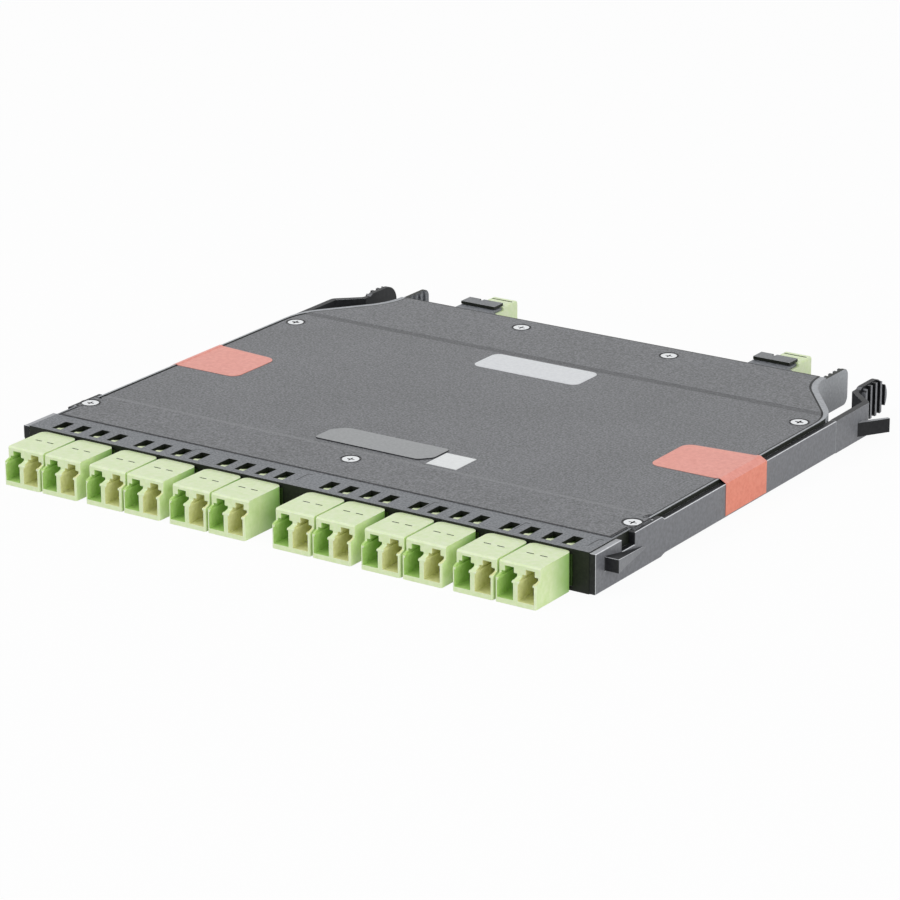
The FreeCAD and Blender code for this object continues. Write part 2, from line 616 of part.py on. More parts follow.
def side_rail(name, side):
    """The fixed rail: a full-height front block with a notch and a stop wedge, then a lower arm."""
    body = new_body("side_rail_" + name)
    start = "Sizes.tray_half" if side > 0 else "-Sizes.rail_out"
    profile = new_sketch(body, "rail_profile", "YZ_Plane", start)
    high, low, top = D["rail_high"], D["arm_low"], D["arm_high"]
    outline(profile, [(0.0, 0.1), (32.6, 0.1), (34.6, low), (D["arm_end"], low), (D["arm_end"], top),
                      (34.4, top), (33.2, high), (19.2, high), (19.2, 7.9), (12.9, 7.9), (12.9, high),
                      (0.0, high)])
    pad(body, "rail", profile, "Sizes.rail_out - Sizes.tray_half")
    recess = new_sketch(body, "ear_recess", "XY_Plane", "Sizes.rail_high")
    low, high = sorted((side * (D["tray_half"] - 0.5), side * (D["tray_half"] + 0.8)))
    rectangle(recess, low, EAR_START - 0.2, high, EAR_END + 0.2)
    pocket(body, "ear_recess_cut", recess, "Sizes.rail_high - Sizes.seat_top + 0.05")
    wedge = body.newObject("PartDesign::AdditiveWedge", "stop_wedge")
    reach = 4.2
    wedge.Xmin, wedge.Xmax = 0.0, reach + 0.5
    wedge.X2min, wedge.X2max = 0.0, 0.5
    wedge.Ymin, wedge.Ymax = 0.0, 20.2
    wedge.Zmin, wedge.Zmax = 0.0, 3.8
    wedge.Z2min, wedge.Z2max = 0.0, 0.5
    if side > 0:
        wedge.Placement = FreeCAD.Placement(vector(D["rail_out"] - 0.5, 4.6, 5.4), FreeCAD.Rotation())
    else:
        wedge.Xmin, wedge.Xmax = -(reach + 0.5), 0.0
        wedge.X2min, wedge.X2max = -0.5, 0.0
        wedge.Placement = FreeCAD.Placement(vector(-D["rail_out"] + 0.5, 4.6, 5.4), FreeCAD.Rotation())


def pad_outline(sketch, start, low, high, end):
    """A thumb pad seen from the side: square in front, well rounded at the rear."""
    outline(sketch, [(start, low), (end, low, 4.6), (end, high, 5.2), (start, high, 2.4)])


def release_lever(name, side):
    """The springy tail of the rail: a straight run with a latch barb, a jog inwards, a ribbed thumb pad."""
    body = new_body("release_lever_" + name)
    outer, inner = D["rail_out"], D["tray_half"]
    start = D["arm_end"] + D["split_gap"]
    face, back = D["pad_face"], D["pad_face"] - D["pad_thick"]
    plan = new_sketch(body, "tail_plan", "XY_Plane", "Sizes.arm_low")
    corners = [(outer, start), (outer, 148.2, 2.5), (face, 154.8, 2.5), (face, 158.0), (back, 158.0),
               (back, 153.9, 1.2), (inner, 147.6, 1.2), (inner, start)]
    outline(plan, [(side * corner[0],) + corner[1:] for corner in corners])
    pad(body, "tail", plan, "Sizes.arm_high - Sizes.arm_low")
    plate_from = back if side > 0 else -face
    plate = new_sketch(body, "pad_profile", "YZ_Plane", "%.3f" % plate_from)
    pad_outline(plate, 155.8, 0.5, 10.9, 170.6)
    pad(body, "thumb_pad", plate, "Sizes.pad_thick")
    rib_from = face if side > 0 else -face - D["pad_rib"]
    crest = new_sketch(body, "rib_profile", "YZ_Plane", "%.3f" % rib_from)
    pad_outline(crest, 157.2, 0.7, 10.7, 170.4)
    pad(body, "rib_block", crest, "Sizes.pad_rib")
    grooves = new_sketch(body, "groove_plan", "XY_Plane")
    low, high = sorted((side * face, side * (face + D["pad_rib"] + 0.2)))
    for step in range(4):
        groove_y = 158.3 + step * 3.0
        rectangle(grooves, low, groove_y, high, groove_y + 2.0)
    pocket(body, "grooves", grooves, "12", backwards=True)
    barb = new_sketch(body, "barb_plan", "XY_Plane", "1.9")
    hook = [(outer - 0.6, 140.6), (outer, 141.2), (outer + 5.8, 150.0, 0.3), (outer + 4.7, 150.7, 0.3),
            (outer - 0.6, 143.2)]
    outline(barb, [(side * corner[0],) + corner[1:] for corner in hook])
    pad(body, "barb", barb, "4.1")


def film_label(name, corners, level, height="Sizes.film"):
    """A thin flat label of any outline, at a level above the tray's underside."""
    body = new_body(name)
    plan = new_sketch(body, "plan", "XY_Plane", "%.3f" % level)
    outline(plan, corners)
    pad(body, "film", plan, height)


def seal(name, side):
    """A tamper seal: stuck on the cover, over the lip and the rail's top, down the rail's outer face."""
    body = new_body("seal_" + name)
    panel = D["seat_top"] + D["cover_thick"] - D["panel_drop"]
    skin = D["film"]
    out = D["rail_out"] + 0.02
    lip = D["rim_top"] + 0.02
    profile = new_sketch(body, "seal_section", "XZ_Plane", "-86.2")
    wall = D["tray_half"] - D["lip_thick"]
    corners = [(70.4, panel), (wall - 0.3, panel), (wall, lip), (D["tray_half"], lip),
               (out, D["arm_high"] + 0.02), (out, 1.2), (out + skin, 1.2), (out + skin, D["arm_high"] + 0.08),
               (D["tray_half"] + 0.05, lip + skin), (wall - 0.05, lip + skin), (wall - 0.35, panel + skin),
               (70.4, panel + skin)]
    outline(profile, [(side * x, z) for x, z in corners])
    pad(body, "film", profile, "20.0")
    corner_cut = new_sketch(body, "inner_corners", "XY_Plane", "%.3f" % (panel - 0.5))
    for low_y, turn in ((66.2, 1), (86.2, -1)):
        bow = vector(side * (70.4 + 3.0 * (1 - math.sqrt(0.5))), low_y + turn * 3.0 * (1 - math.sqrt(0.5)))
        first = vector(side * 70.4, low_y + turn * 3.0)
        last = vector(side * 73.4, low_y)
        away = vector(side * 69.9, low_y - turn * 0.5)
        corner_cut.addGeometry(Part.Arc(first, bow, last))
        corner_cut.addGeometry(Part.LineSegment(last, vector(last.x, away.y)))
        corner_cut.addGeometry(Part.LineSegment(vector(last.x, away.y), away))
        corner_cut.addGeometry(Part.LineSegment(away, vector(away.x, first.y)))
        corner_cut.addGeometry(Part.LineSegment(vector(away.x, first.y), first))
    pocket(body, "rounded_corners", corner_cut, "2", backwards=True)


def labels():
    """The paper label near the rear, the badge plate near the front and the small tag beside it."""
    panel = D["seat_top"] + D["cover_thick"] - D["panel_drop"]
    film_label("rear_label", [(-18.6, 112.9, 2.6), (17.4, 112.9, 2.6), (17.4, 126.2, 2.6),
                              (-18.6, 126.2, 2.6)], panel)
    film_label("front_badge", [(-19.2, 35.0, 1.2), (15.2, 35.0, 3.0), (18.4, 38.6, 2.0), (18.4, 46.6, 1.2),
                               (-15.6, 46.6, 3.0), (-19.2, 42.8, 2.0)], panel, "0.3")
    film_label("port_tag", [(18.9, 34.0), (28.6, 34.0), (28.6, 44.1), (18.9, 44.1)], panel)


def check_document():
    """Stops if any object failed to build or any piece has no valid shape."""
    doc.recompute()
    for item in doc.Objects:
        if "Invalid" in item.State or "Error" in item.State:
            raise RuntimeError("object %s failed: %s" % (item.Name, item.State))
    for node in NODES:
        if node.Shape.isNull() or not node.Shape.isValid():
            raise RuntimeError("piece %s has no valid shape" % node.Label)


def build():
    base_housing()
    top_cover()
    cover_screws()
    for number, centre in enumerate(adapter_centres(), start=1):
        lc_adapter(number, centre)
        lc_plug(number, centre)
    alignment_sleeves()
    for name, side in SIDES:
        plug_x = D["mpo_" + name]
        mpo_adapter(name, plug_x)
        mpo_retainer(name, plug_x)
        mpo_plug(name, plug_x)
        fibre_spool(name, side)
        fibre_bundle(name, side, plug_x)
        side_rail(name, side)
        release_lever(name, side)
        seal(name, side)
    labels()
    check_document()
    os.makedirs("parts", exist_ok=True)
    for node in NODES:
        node.Shape.exportStep("parts/%s.step" % node.Label)
        print("%-22s solids %d volume %.1f" % (node.Label, len(node.Shape.Solids), node.Shape.Volume))


build()
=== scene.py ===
import math
import bmesh
import bpy
from mathutils import Matrix, Vector


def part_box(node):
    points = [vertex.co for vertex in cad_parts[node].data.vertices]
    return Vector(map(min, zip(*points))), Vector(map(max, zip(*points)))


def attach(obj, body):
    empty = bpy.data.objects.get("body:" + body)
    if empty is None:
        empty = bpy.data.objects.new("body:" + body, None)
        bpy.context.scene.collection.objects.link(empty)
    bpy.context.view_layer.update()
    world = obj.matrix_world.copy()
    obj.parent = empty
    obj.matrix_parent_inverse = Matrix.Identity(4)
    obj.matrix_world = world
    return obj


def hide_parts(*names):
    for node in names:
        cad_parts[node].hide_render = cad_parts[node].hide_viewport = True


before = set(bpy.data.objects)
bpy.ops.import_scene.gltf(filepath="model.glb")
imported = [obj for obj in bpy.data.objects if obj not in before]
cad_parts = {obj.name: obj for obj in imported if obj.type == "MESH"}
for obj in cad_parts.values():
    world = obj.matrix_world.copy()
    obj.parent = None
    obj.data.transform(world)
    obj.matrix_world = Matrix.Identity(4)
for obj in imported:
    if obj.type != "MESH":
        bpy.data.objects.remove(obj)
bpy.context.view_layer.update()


# Camera. The photograph was taken from the front right, a little above the cassette, with a long
# lens: about a metre away, so that the sides hardly converge.
def placed(name, data):
    """A new object in the scene."""
    made = bpy.data.objects.new(name, data)
    bpy.context.scene.collection.objects.link(made)
    return made


CAMERA_AT = (0.56095, -0.83973, 0.35048)
VIEW_AZIMUTH = math.radians(33.974)
VIEW_ELEVATION = math.radians(19.217)
VIEW_ROLL = math.radians(-0.368)
camera_data = bpy.data.cameras.new("long_lens")
camera_data.sensor_width = 36.0
camera_data.lens = 150.66
camera_data.shift_x = 0.0045
camera_data.clip_end = 20.0
camera = placed("camera", camera_data)
camera.matrix_world = (Matrix.Translation(CAMERA_AT)
                       @ Matrix.Rotation(VIEW_AZIMUTH, 4, "Z")
                       @ Matrix.Rotation(math.pi / 2 - VIEW_ELEVATION, 4, "X")
                       @ Matrix.Rotation(VIEW_ROLL, 4, "Z"))
bpy.context.scene.camera = camera
bpy.context.scene.view_settings.view_transform = "Standard"


# Studio. A pale table under soft light from all round, with a large lamp above the left shoulder
# and a weaker one from the right. The table is seen as white, but keeps the cassette's shadow.
def linear(code):
    """A colour written as an sRGB hex code, as linear RGBA."""
    parts = [int(code[i:i + 2], 16) / 255 for i in (1, 3, 5)]
    return [p / 12.92 if p <= 0.04045 else ((p + 0.055) / 1.055) ** 2.4 for p in parts] + [1.0]


def add(tree, kind, inputs=None, **settings):
    """Adds a node with its settings; an input is a value, or the output that it is linked to."""
    made = tree.nodes.new(kind)
    for name, value in settings.items():
        setattr(made, name, value)
    for name, value in (inputs or {}).items():
        if isinstance(value, bpy.types.NodeSocket):
            tree.links.new(value, made.inputs[name])
        else:
            made.inputs[name].default_value = value
    return made


def maths(tree, operation, *values):
    """The result of one sum on values or outputs."""
    return add(tree, "ShaderNodeMath", dict(enumerate(values)), operation=operation).outputs[0]


def white_to_the_eye(tree, output, plain, share):
    """Shows a share of pure white to the camera, to gloss and to glass, and the plain shader otherwise."""
    path = add(tree, "ShaderNodeLightPath")
    seen = maths(tree, "MAXIMUM", path.outputs["Is Camera Ray"], path.outputs["Is Glossy Ray"])
    seen = maths(tree, "MAXIMUM", seen, path.outputs["Is Transmission Ray"])
    part = maths(tree, "MULTIPLY", seen, share)
    kind = "ShaderNodeBackground" if output.bl_idname == "ShaderNodeOutputWorld" else "ShaderNodeEmission"
    white = add(tree, kind, {"Color": linear("#ffffff"), "Strength": 1.0})
    mix = add(tree, "ShaderNodeMixShader", {0: part, 1: plain, 2: white.outputs[0]})
    tree.links.new(mix.outputs[0], output.inputs["Surface"])


SKY_STRENGTH = 0.5
SKY_WHITE, TABLE_WHITE = 1.0, 0.95
TABLE_HALF = 4.0
LAMPS = (("key", (-0.9, -0.9, 1.5), 1.4, 10.0),
         ("fill", (1.5, -0.5, 0.7), 1.2, 8.5))

world = bpy.data.worlds.new("studio")
bpy.context.scene.world = world
world.use_nodes = True
world.node_tree.nodes.clear()
world_output = add(world.node_tree, "ShaderNodeOutputWorld")
soft_sky = add(world.node_tree, "ShaderNodeBackground", {"Color": linear("#fbfcff"), "Strength": SKY_STRENGTH})
white_to_the_eye(world.node_tree, world_output, soft_sky.outputs[0], SKY_WHITE)

table_mesh = bpy.data.meshes.new("table")
table_mesh.from_pydata([(x * TABLE_HALF, y * TABLE_HALF, 0) for x, y in ((-1, -1), (1, -1), (1, 1), (-1, 1))],
                       [], [(0, 1, 2, 3)])
table = placed("table", table_mesh)
table_paint = bpy.data.materials.new("pale_table")
table_paint.use_nodes = True
table_paint.node_tree.nodes.clear()
table_output = add(table_paint.node_tree, "ShaderNodeOutputMaterial")
table_matt = add(table_paint.node_tree, "ShaderNodeBsdfDiffuse", {"Color": linear("#f4f4f4")})
white_to_the_eye(table_paint.node_tree, table_output, table_matt.outputs[0], TABLE_WHITE)
table_mesh.materials.append(table_paint)

for lamp_name, lamp_at, lamp_size, lamp_watts in LAMPS:
    lamp_data = bpy.data.lights.new(lamp_name, "AREA")
    lamp_data.shape = "DISK"
    lamp_data.size = lamp_size
    lamp_data.energy = lamp_watts
    lamp = placed(lamp_name, lamp_data)
    lamp.matrix_world = (Matrix.Translation(lamp_at)
                         @ Vector(lamp_at).to_track_quat("Z", "Y").to_matrix().to_4x4())


# Tray. One moulding in charcoal ABS, spark-eroded outside: a fine, even, satin grain. Its edges are
# painted pale as highlights; its grooves, windows and front face are painted black as shade.
def new_material(name):
    """An empty material with a Principled surface; returns it with its tree, surface and coordinates."""
    material = bpy.data.materials.new(name)
    material.use_nodes = True
    tree = material.node_tree
    tree.nodes.clear()
    output = add(tree, "ShaderNodeOutputMaterial")
    surface = add(tree, "ShaderNodeBsdfPrincipled")
    tree.links.new(surface.outputs[0], output.inputs["Surface"])
    place = add(tree, "ShaderNodeTexCoord").outputs["Object"]
    return material, tree, surface, place


GRAIN_SHARE, CLOUD_SHARE, TINT_START = 0.7, 0.12, 0.215
TINT_LOW, TINT_HIGH = 0.5, 0.75
GLOSS_BELOW, GLOSS_ABOVE = 0.05, 0.07
RELIEF_STRENGTH = 0.55


def grained(name, dark, light, grain_mm, relief_mm, roughness, ior=1.5, cloud_mm=22.0):
    """A moulded or coated surface: fine grain in colour and relief, and a slow drift of both."""
    material, tree, surface, place = new_material(name)
    grain = add(tree, "ShaderNodeTexNoise", {"Vector": place, "Scale": 1000.0 / grain_mm, "Detail": 3.0,
                                             "Roughness": 0.6}).outputs["Fac"]
    cloud = add(tree, "ShaderNodeTexNoise", {"Vector": place, "Scale": 1000.0 / cloud_mm,
                                             "Detail": 2.0}).outputs["Fac"]
    blend = maths(tree, "MULTIPLY_ADD", grain, GRAIN_SHARE, TINT_START)
    drift = maths(tree, "MULTIPLY_ADD", cloud, CLOUD_SHARE, blend)
    spread = add(tree, "ShaderNodeMapRange", {"Value": drift, "From Min": TINT_LOW, "From Max": TINT_HIGH})
    tint = add(tree, "ShaderNodeMix", {"Factor": spread.outputs[0], "A": linear(dark), "B": linear(light)},
               data_type="RGBA")
    tree.links.new(tint.outputs["Result"], surface.inputs["Base Color"])
    gloss = add(tree, "ShaderNodeMapRange", {"Value": cloud, "To Min": roughness - GLOSS_BELOW,
                                             "To Max": roughness + GLOSS_ABOVE})
    tree.links.new(gloss.outputs[0], surface.inputs["Roughness"])
    relief = add(tree, "ShaderNodeBump", {"Height": grain, "Strength": RELIEF_STRENGTH,
                                          "Distance": relief_mm / 1000.0})
    tree.links.new(relief.outputs[0], surface.inputs["Normal"])
    surface.inputs["IOR"].default_value = ior
    return material


def settle(piece):
    """Gives a piece the mesh that its modifiers make, and removes them."""
    made = bpy.data.meshes.new_from_object(piece.evaluated_get(bpy.context.evaluated_depsgraph_get()))
    piece.modifiers.clear()
    piece.data = made


SAME_POINT = 2e-6
FLAT_ANGLE = math.radians(0.6)
END_REACH = 0.0003


def softened(node, width_mm, materials, body, sharp_degrees=34.0, meets=None, shortest_mm=0.0):
    """A copy of a CAD piece with its edges rounded, which stands for it; the rounding takes the last
    material. An end face that meets another piece at a place along the cassette stays sharp, and
    edges shorter than a limit are drawn together first, because they would hold the rounding back."""
    mesh = bmesh.new()
    mesh.from_mesh(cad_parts[node].data)
    bmesh.ops.remove_doubles(mesh, verts=mesh.verts, dist=SAME_POINT)
    if width_mm:
        bmesh.ops.dissolve_limit(mesh, angle_limit=FLAT_ANGLE, verts=mesh.verts, edges=mesh.edges)
    short = [edge for edge in mesh.edges if edge.calc_length() < shortest_mm / 1000.0]
    if short:
        bmesh.ops.collapse(mesh, edges=short)
    if meets:
        ends = [face for face in mesh.faces if abs(face.calc_center_median().y - meets) < END_REACH
                and abs(face.normal.y) > 0.9]
        bmesh.ops.delete(mesh, geom=ends, context="FACES_ONLY")
    made = bpy.data.meshes.new(node + "_soft")
    mesh.to_mesh(made)
    mesh.free()
    for material in materials:
        made.materials.append(material)
    for face in made.polygons:
        face.material_index = 0
    piece = placed(node + "_finish", made)
    bevel = piece.modifiers.new("edges", "BEVEL")
    bevel.width = width_mm / 1000.0
    bevel.segments = 2
    bevel.limit_method = "ANGLE" if width_mm else "WEIGHT"
    bevel.angle_limit = math.radians(sharp_degrees)
    bevel.material = len(materials) - 1
    bevel.harden_normals = False
    settle(piece)
    if meets:
        mesh = bmesh.new()
        mesh.from_mesh(piece.data)
        bmesh.ops.holes_fill(mesh, edges=[edge for edge in mesh.edges if edge.is_boundary], sides=0)
        bmesh.ops.recalc_face_normals(mesh, faces=mesh.faces)
        mesh.to_mesh(piece.data)
        mesh.free()
    for face in piece.data.polygons:
        face.use_smooth = False
    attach(piece, body)
    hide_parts(node)
    return piece


def outward(at, facing):
    """How far a face looks away from the middle plane: 1 is straight outwards, -1 straight inwards."""
    return facing.x if at.x > 0 else -facing.x


def paint(piece, *rules):
    """Gives a face one of the piece's materials where a rule on its middle and its direction holds; a
    later rule wins. Each direction is a part of a unit vector, so 0.9 or more is nearly straight."""
    finishes = list(piece.data.materials)
    for finish, test in rules:
        for face in piece.data.polygons:
            if test(face.center, face.normal):
                face.material_index = finishes.index(finish)


TRAY_FRONT = -0.079
STRIP_TOP = 0.01145
STRIP_DEPTH = 0.0125
WALL_CURVE, WALL_OUT = 0.045, 0.072
WALL_TOP, GROOVE_LOW, GROOVE_OUT = 0.0113, 0.0105, 0.07
BEHIND_RAIL = 0.0915
WINDOW_START, WINDOW_END, WINDOW_LOW, WINDOW_OUT = 0.0015, 0.0085, 0.0098, 0.0885
TAB_START, TAB_LOW, TAB_OUT = 0.0795, 0.0104, 0.0725
# A satin grey grain; painted black shade in the grooves, windows, front face and tab tops; painted
# pale highlights along the edges, and painted light on the curving wall's outside and top.
tray_grain = grained("abs_charcoal_spark_eroded", "#5a5d61", "#909397", 0.6, 0.03, 0.52)
tray_shade = grained("abs_painted_shade_black", "#1a1d18", "#262a22", 1.0, 0.01, 0.45, ior=1.3)
tray_edge_highlight = grained("abs_charcoal_painted_edge_highlight", "#b4b7b9", "#cdcfd0", 0.8, 0.01, 0.42)
tray_lit_side = grained("abs_charcoal_painted_lit_side", "#9a9da1", "#b4b7ba", 0.8, 0.02, 0.45)
tray = softened("base_housing", 0.18, [tray_grain, tray_shade, tray_lit_side, tray_edge_highlight], "cassette")
paint(tray,
      # The outside of the curving wall, and the wall's top behind the strip: painted lighter, as lit.
      (tray_lit_side, lambda at, facing: at.y > WALL_CURVE and abs(at.x) > WALL_OUT
       and outward(at, facing) > 0.3 and abs(facing.z) < 0.5),
      (tray_lit_side, lambda at, facing: at.z > WALL_TOP and facing.z > 0.97
       and at.y > TRAY_FRONT + STRIP_DEPTH),
      # The groove beside the cover, the wall behind the rail and the front face: painted black, as shade.
      (tray_shade, lambda at, facing: at.z > GROOVE_LOW and facing.z < 0.97 and abs(at.x) > GROOVE_OUT
       and outward(at, facing) < -0.2),
      (tray_shade, lambda at, facing: abs(facing.x) > 0.9 and abs(at.x) > BEHIND_RAIL),
      (tray_shade, lambda at, facing: at.y < TRAY_FRONT + 0.0006 and facing.y < -0.3),
      # The walls of the windows, and the tops of the finger tabs: painted black, as shade.
      (tray_shade, lambda at, facing: WINDOW_START < at.y - TRAY_FRONT < WINDOW_END and at.z > WINDOW_LOW
       and facing.z < 0.95 and abs(at.x) < WINDOW_OUT),
      (tray_shade, lambda at, facing: at.y > TAB_START and at.z > TAB_LOW and abs(at.x) > TAB_OUT
       and facing.z > 0.9))


# Moulding lines on the strip. Five thin corner-shaped lines, left by the mould's inserts, lie
# between the windows. Each is a long and a short bar, set out by Geometry Nodes.
def node_group(name, inputs):
    """A Geometry Nodes group that takes points and named sizes in metres; returns it with its ends."""
    group = bpy.data.node_groups.new(name, "GeometryNodeTree")
    group.interface.new_socket("Geometry", in_out="INPUT", socket_type="NodeSocketGeometry")
    for label, value in inputs:
        socket = group.interface.new_socket(label, in_out="INPUT", socket_type="NodeSocketFloat")
        socket.default_value = value
    group.interface.new_socket("Geometry", in_out="OUTPUT", socket_type="NodeSocketGeometry")
    return group, add(group, "NodeGroupInput"), add(group, "NodeGroupOutput")


def three(group, **parts):
    """A vector of up to three parts named X, Y and Z."""
    return add(group, "ShaderNodeCombineXYZ", parts).outputs[0]


def set_out(group, group_in, group_out, shape, material):
    """Ends a group: one shape on every point, made real, in one material."""
    spots = add(group, "GeometryNodeInstanceOnPoints", {"Points": group_in.outputs["Geometry"],
                                                        "Instance": shape})
    real = add(group, "GeometryNodeRealizeInstances", {"Geometry": spots.outputs[0]})
    coat = add(group, "GeometryNodeSetMaterial", {"Geometry": real.outputs[0], "Material": material})
    group.links.new(coat.outputs[0], group_out.inputs[0])


def grown(name, group, points):
    """A piece of the cassette that a group makes on points, its inputs set by their identifiers."""
    mesh = bpy.data.meshes.new(name + "_spots")
    mesh.from_pydata(points, [], [])
    piece = placed(name, mesh)
    modifier = piece.modifiers.new("set_out", "NODES")
    modifier.node_group = group
    for item in group.interface.items_tree:
        if item.in_out == "INPUT" and item.socket_type == "NodeSocketFloat":
            modifier[item.identifier] = item.default_value
    settle(piece)
    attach(piece, "cassette")


LINE_SPOTS = (-0.0403, -0.0027, 0.0382, 0.0667, 0.0890)
LINE_BACK = 0.0068
LINE_SIZES = (("Long", 0.0056), ("Turn", 0.0014), ("Wide", 0.0003), ("High", 0.00004))
line_ink = grained("abs_charcoal_mould_line", "#2e3033", "#3c3e41", 0.8, 0.004, 0.5)
mould_lines, line_in, line_out = node_group("mould_lines", LINE_SIZES)
line_long, line_turn, line_wide, line_high = [line_in.outputs[label] for label, value in LINE_SIZES]
long_bar = add(mould_lines, "GeometryNodeMeshCube", {"Size": three(mould_lines, X=line_wide, Y=line_long,
                                                                   Z=line_high)})
turn_bar = add(mould_lines, "GeometryNodeMeshCube", {"Size": three(mould_lines, X=line_turn, Y=line_wide,
                                                                   Z=line_high)})
turn_at = three(mould_lines, X=maths(mould_lines, "MULTIPLY", line_turn, 0.5),
                Y=maths(mould_lines, "MULTIPLY", line_long, 0.5))
turn_moved = add(mould_lines, "GeometryNodeTransform", {"Geometry": turn_bar.outputs["Mesh"],
                                                        "Translation": turn_at})
corner_line = add(mould_lines, "GeometryNodeJoinGeometry")
mould_lines.links.new(long_bar.outputs["Mesh"], corner_line.inputs[0])
mould_lines.links.new(turn_moved.outputs[0], corner_line.inputs[0])
set_out(mould_lines, line_in, line_out, corner_line.outputs[0], line_ink)
grown("strip_mould_lines", mould_lines, [(x, TRAY_FRONT + LINE_BACK, STRIP_TOP) for x in LINE_SPOTS])


# Cover. A millimetre of sheet steel, powder-coated charcoal: a close, slightly rough grain. Its
# centre panel is pressed a little lower between two straight joggles, and its edge is painted black
# as a shadow line.
COVER_LOW, COVER_RIM = 0.0108, 0.00045
CORNER_OUT, CORNER_CROSS = 0.07, 0.0003
# A satin grey coat; the two joggles painted a shade lighter and darker, as lit and shaded; a painted
# black shadow line at the edge.
cover_coat = grained("steel_powder_coat_charcoal", "#4a4c4e", "#898a8d", 0.6, 0.04, 0.5, cloud_mm=30.0)
joggle_light = grained("powder_coat_joggle_lit", "#585a5c", "#8c8d90", 0.6, 0.04, 0.5)
joggle_dim = grained("powder_coat_joggle_shaded", "#434547", "#727375", 0.6, 0.04, 0.5)
cover_shadow_line = grained("powder_coat_painted_shadow_line", "#1b1c1d", "#28292a", 0.8, 0.01, 0.5, ior=1.3)
cover_finishes = [cover_coat, joggle_light, joggle_dim, cover_shadow_line]
cover = softened("top_cover", 0.12, cover_finishes, "cassette")
# The joggle that faces the rear is painted lighter, as lit, and the one that faces the front darker, as
# shaded.
paint(cover,
      (joggle_light, lambda at, facing: facing.y > 0.05 and facing.z > 0.95),
      (joggle_dim, lambda at, facing: facing.y < -0.05 and facing.z > 0.95))
# A painted black shadow line runs round the cover's top, inside its edge and round the screw holes.
rim_mesh = bmesh.new()
rim_mesh.from_mesh(cover.data)
upper = [face for face in rim_mesh.faces if face.normal.z > 0.95 and face.calc_center_median().z > COVER_LOW]
upper = bmesh.ops.triangulate(rim_mesh, faces=upper)["faces"]
rim = bmesh.ops.inset_region(rim_mesh, faces=upper, thickness=COVER_RIM, use_even_offset=True,
                             use_boundary=True)
for face in rim["faces"]:
    face.material_index = cover_finishes.index(cover_shadow_line)
# Where an outer edge is shorter than the rim is wide, its inner corners cross; they are joined.
inner = {vertex for face in upper for vertex in face.verts}
corners = [vertex for vertex in rim_mesh.verts if vertex in inner and abs(vertex.co.x) > CORNER_OUT]
bmesh.ops.remove_doubles(rim_mesh, verts=corners, dist=CORNER_CROSS)
rim_mesh.to_mesh(cover.data)
rim_mesh.free()

# Screws. Zinc-plated countersunk screws, bright against the coat. The cross recess and a ring round
# the head, where the hole shows, are painted dark as shade.
SCREWS_MM = ((0.0, 25.4), (-89.9, 24.6), (89.9, 24.6), (-86.8, 119.4), (86.8, 119.4), (-25.8, 151.1),
             (25.8, 151.1))
SCREW_AXES = [(x / 1000, y / 1000 + TRAY_FRONT) for x, y in SCREWS_MM]
HEAD_REACH, HEAD_LOW = 0.0022, 0.0107
RECESS_REACH, RECESS_LOW, RECESS_HIGH, RECESS_FLOOR = 0.0013, 0.0104, 0.01152, 0.01118
# A bright metal with fine streaks in its gloss, and a dull dark one that paints shade in the recess
# and round the head.
screw_zinc, screw_tree, screw_surface, screw_place = new_material("steel_zinc_plated")
screw_surface.inputs["Base Color"].default_value = linear("#e4e6e8")
screw_surface.inputs["Metallic"].default_value = 1.0
screw_streaks = add(screw_tree, "ShaderNodeTexNoise", {"Vector": screw_place, "Scale": 2500.0, "Detail": 2.0})
screw_gloss = add(screw_tree, "ShaderNodeMapRange", {"Value": screw_streaks.outputs["Fac"], "To Min": 0.24,
                                                     "To Max": 0.42})
screw_tree.links.new(screw_gloss.outputs[0], screw_surface.inputs["Roughness"])
screw_shade, _, shade_surface, _ = new_material("steel_zinc_painted_shade")
shade_surface.inputs["Base Color"].default_value = linear("#3a3b3c")
shade_surface.inputs["Metallic"].default_value = 1.0
shade_surface.inputs["Roughness"].default_value = 0.5


def from_axis(at):
    """How far a place lies from the nearest screw's axis."""
    return min(math.hypot(at.x - x, at.y - y) for x, y in SCREW_AXES)


screws = softened("cover_screws", 0.16, [screw_zinc, screw_shade, screw_zinc], "cassette", 50.0)
# The ring round the head and the cross recess are painted dark, as shade.
paint(screws,
      (screw_shade, lambda at, facing: facing.z < 0.97 and at.z > HEAD_LOW and from_axis(at) > HEAD_REACH),
      (screw_shade, lambda at, facing: RECESS_LOW < at.z < RECESS_HIGH and facing.z < 0.98
       and from_axis(at) < RECESS_REACH),
      (screw_shade, lambda at, facing: RECESS_LOW < at.z < RECESS_FLOOR and from_axis(at) < RECESS_REACH))


# LC adapters. Twelve duplex adapters in glossy lime PBT. The ports are painted darker inside, as
# shade, with painted light where it comes through the walls; the right one of each pair is painted
# tan inside.
def shaded_along(material, near_y, far_y, colour):
    """Paints shade into a material: turns its colour towards a darker one, from one place along the
    cassette to another.
    """
    tree = material.node_tree
    surface = tree.nodes["Principled BSDF"]
    plain = surface.inputs["Base Color"].links[0].from_socket
    place = add(tree, "ShaderNodeTexCoord").outputs["Object"]
    apart = add(tree, "ShaderNodeSeparateXYZ", {"Vector": place})
    share = add(tree, "ShaderNodeMapRange", {"Value": apart.outputs["Y"], "From Min": near_y,
                                             "From Max": far_y})
    deeper = add(tree, "ShaderNodeMix", {"Factor": share.outputs[0], "A": plain, "B": linear(colour)},
                 data_type="RGBA")
    tree.links.new(deeper.outputs["Result"], surface.inputs["Base Color"])


PORT_FRONT, PORT_STEP, PORT_END = -0.0962, -0.0941, -0.0862
PORT_FLOOR, PORT_ROOF, PORT_OUT = 0.0013, 0.0099, 0.0058
SIDE_SHADE_START = PORT_FRONT + 0.007
ROOT_START, ROOT_HIGH = TRAY_FRONT - 0.0008, 0.00995
DASH_FRONT, DASH_REAR, DASH_LOW, DASH_HIGH = -0.0864, -0.0856, 0.0101, 0.01079
